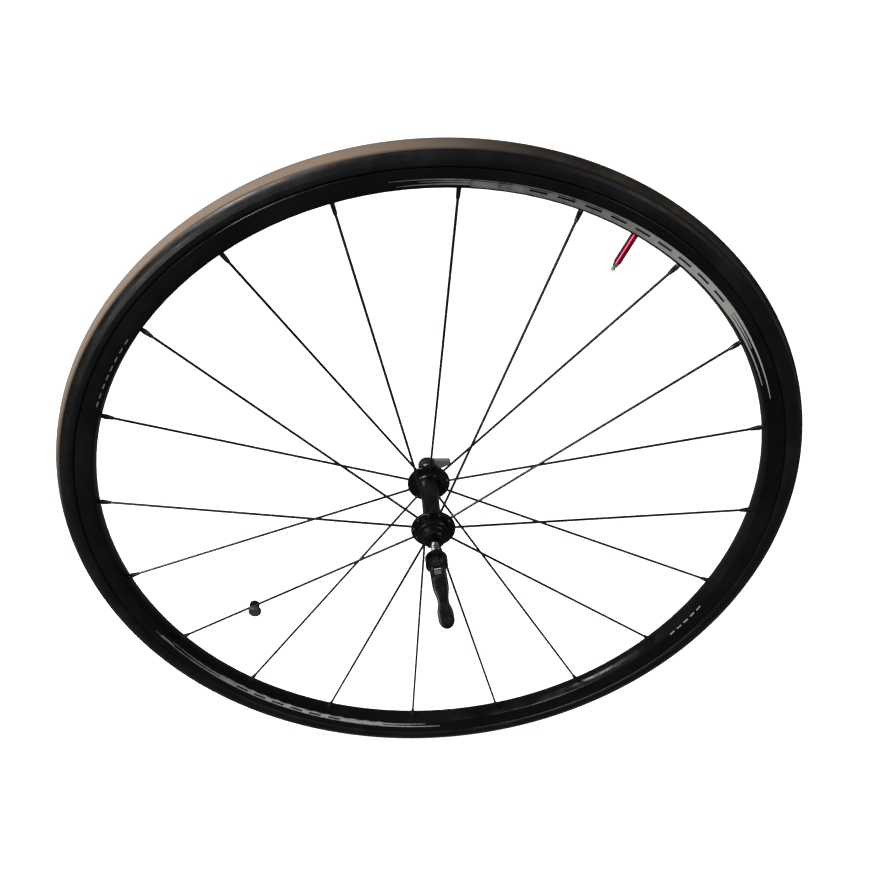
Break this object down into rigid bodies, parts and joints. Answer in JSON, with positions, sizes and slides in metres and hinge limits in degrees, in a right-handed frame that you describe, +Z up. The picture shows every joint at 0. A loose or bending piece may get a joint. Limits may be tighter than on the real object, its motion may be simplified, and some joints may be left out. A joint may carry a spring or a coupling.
{
  "type": "quick-release bicycle front wheel",
  "caption": "Spoked road bicycle front wheel with a slim tyre, a valve, a spoke magnet and a quick-release skewer that clamps it in a fork.",
  "frame": {"origin": "the wheel's centre: on the axle line, midway between the two end caps", "axes": "+Y along the axle from the lever to the nut, +Z up, +X to the right seen from the lever's side"},
  "size_m": [0.668, 0.1823, 0.668],
  "materials": {
    "tyre_black": "satin",
    "tread_brown": "matte",
    "bead_fibre": "matte",
    "tube_rubber": "matte",
    "rim_tape": "matte",
    "rim_black": "satin",
    "spoke_black": "satin",
    "nipple_black": "satin",
    "hub_black": "satin",
    "bearing_steel": "satin",
    "ball_steel": "polished",
    "cage_brass": "satin",
    "seal_rubber": "matte",
    "axle_dark": "satin",
    "spring_steel": "satin",
    "housing_black": "satin",
    "clamp_steel": "satin",
    "lever_black": "satin",
    "rod_steel": "satin",
    "nut_black": "satin",
    "insert_nylon": "satin",
    "stem_red": "gloss",
    "valve_silver": "satin",
    "valve_brass": "satin",
    "magnet_grey": "satin",
    "magnet_black": "satin",
    "screw_steel": "satin"
  },
  "bodies": {
    "axle": {"axle": "axle_dark", "end_cap_left": "hub_black", "end_cap_right": "hub_black", "bearing_inner_left": "bearing_steel", "bearing_inner_right": "bearing_steel"},
    "wheel": {"tyre_casing": "tyre_black", "tyre_tread": "tread_brown", "bead_cores": "bead_fibre", "inner_tube": "tube_rubber", "rim_tape": "rim_tape", "rim": "rim_black", "spokes_left": "spoke_black", "spokes_right": "spoke_black", "nipples_left": "nipple_black", "nipples_right": "nipple_black", "hub_shell": "hub_black", "bearing_outer_left": "bearing_steel", "bearing_outer_right": "bearing_steel", "bearing_seals_left": "seal_rubber", "bearing_seals_right": "seal_rubber", "valve_stem": "stem_red", "valve_patch": "tube_rubber", "valve_core": "valve_silver", "magnet_body": "magnet_grey", "magnet_disc": "magnet_black", "magnet_screw": "screw_steel"},
    "bearing_balls": {"bearing_balls_left": "ball_steel", "bearing_balls_right": "ball_steel", "ball_cage_left": "cage_brass", "ball_cage_right": "cage_brass"},
    "lever_spring": {"lever_spring": "spring_steel"},
    "cam_housing": {"cam_housing": "housing_black", "housing_washer": "clamp_steel"},
    "lever": {"lever": "lever_black", "cam_pin": "clamp_steel"},
    "skewer_rod": {"skewer_rod": "rod_steel"},
    "nut_spring": {"nut_spring": "spring_steel"},
    "skewer_nut": {"skewer_nut": "nut_black", "nut_washer": "clamp_steel", "nut_insert": "insert_nylon"},
    "valve_pin": {"valve_pin": "valve_brass"},
    "valve_nut": {"valve_nut": "valve_silver"}
  },
  "joints": [
    {"name": "wheel_spin", "type": "hinge", "parent": "axle", "child": "wheel", "pos_m": [0, 0, 0], "axis": [0, 1, 0], "continuous": true},
    {"name": "balls_roll", "type": "hinge", "parent": "axle", "child": "bearing_balls", "pos_m": [0, 0, 0], "axis": [0, 1, 0], "continuous": true},
    {"name": "skewer_slide", "type": "slide", "parent": "axle", "child": "lever_spring", "axis": [0, 1, 0], "range_m": [0, 0.012], "deforming": ["lever_spring", "nut_spring"]},
    {"name": "skewer_turn", "type": "hinge", "parent": "lever_spring", "child": "cam_housing", "pos_m": [0, 0, 0], "axis": [0, 1, 0], "continuous": true},
    {"name": "lever_throw", "type": "hinge", "parent": "cam_housing", "child": "lever", "pos_m": [0, -0.0785, 0], "axis": [-0.9806, 0, -0.1959], "range_deg": [-40, 140]},
    {"name": "rod_pull", "type": "slide", "parent": "cam_housing", "child": "skewer_rod", "axis": [0, 1, 0], "range_m": [-0.00027, 0.00093]},
    {"name": "nut_travel", "type": "slide", "parent": "skewer_rod", "child": "nut_spring", "axis": [0, 1, 0], "range_m": [-0.0004, 0.0032], "deforming": ["nut_spring"]},
    {"name": "nut_turn", "type": "hinge", "parent": "nut_spring", "child": "skewer_nut", "pos_m": [0, 0.06, 0], "axis": [0, 1, 0], "range_deg": [-180, 1440]},
    {"name": "valve_press", "type": "slide", "parent": "wheel", "child": "valve_pin", "axis": [0.4195, 0, 0.9078], "range_m": [0, 0.0011], "stiffness_N_per_m": 300},
    {"name": "valve_nut_turn", "type": "hinge", "parent": "valve_pin", "child": "valve_nut", "pos_m": [0.1364, 0, 0.23203], "axis": [0.4195, 0, 0.9078], "range_deg": [-360, 360]}
  ],
  "couplings": [
    {"joint": "balls_roll", "follows": "wheel_spin", "ratio": 0.60938},
    {"joint": "lever_throw", "follows": "rod_pull", "rad_per_m": 2618},
    {"joint": "nut_turn", "follows": "nut_travel", "rad_per_m": 7853.9}
  ]
}
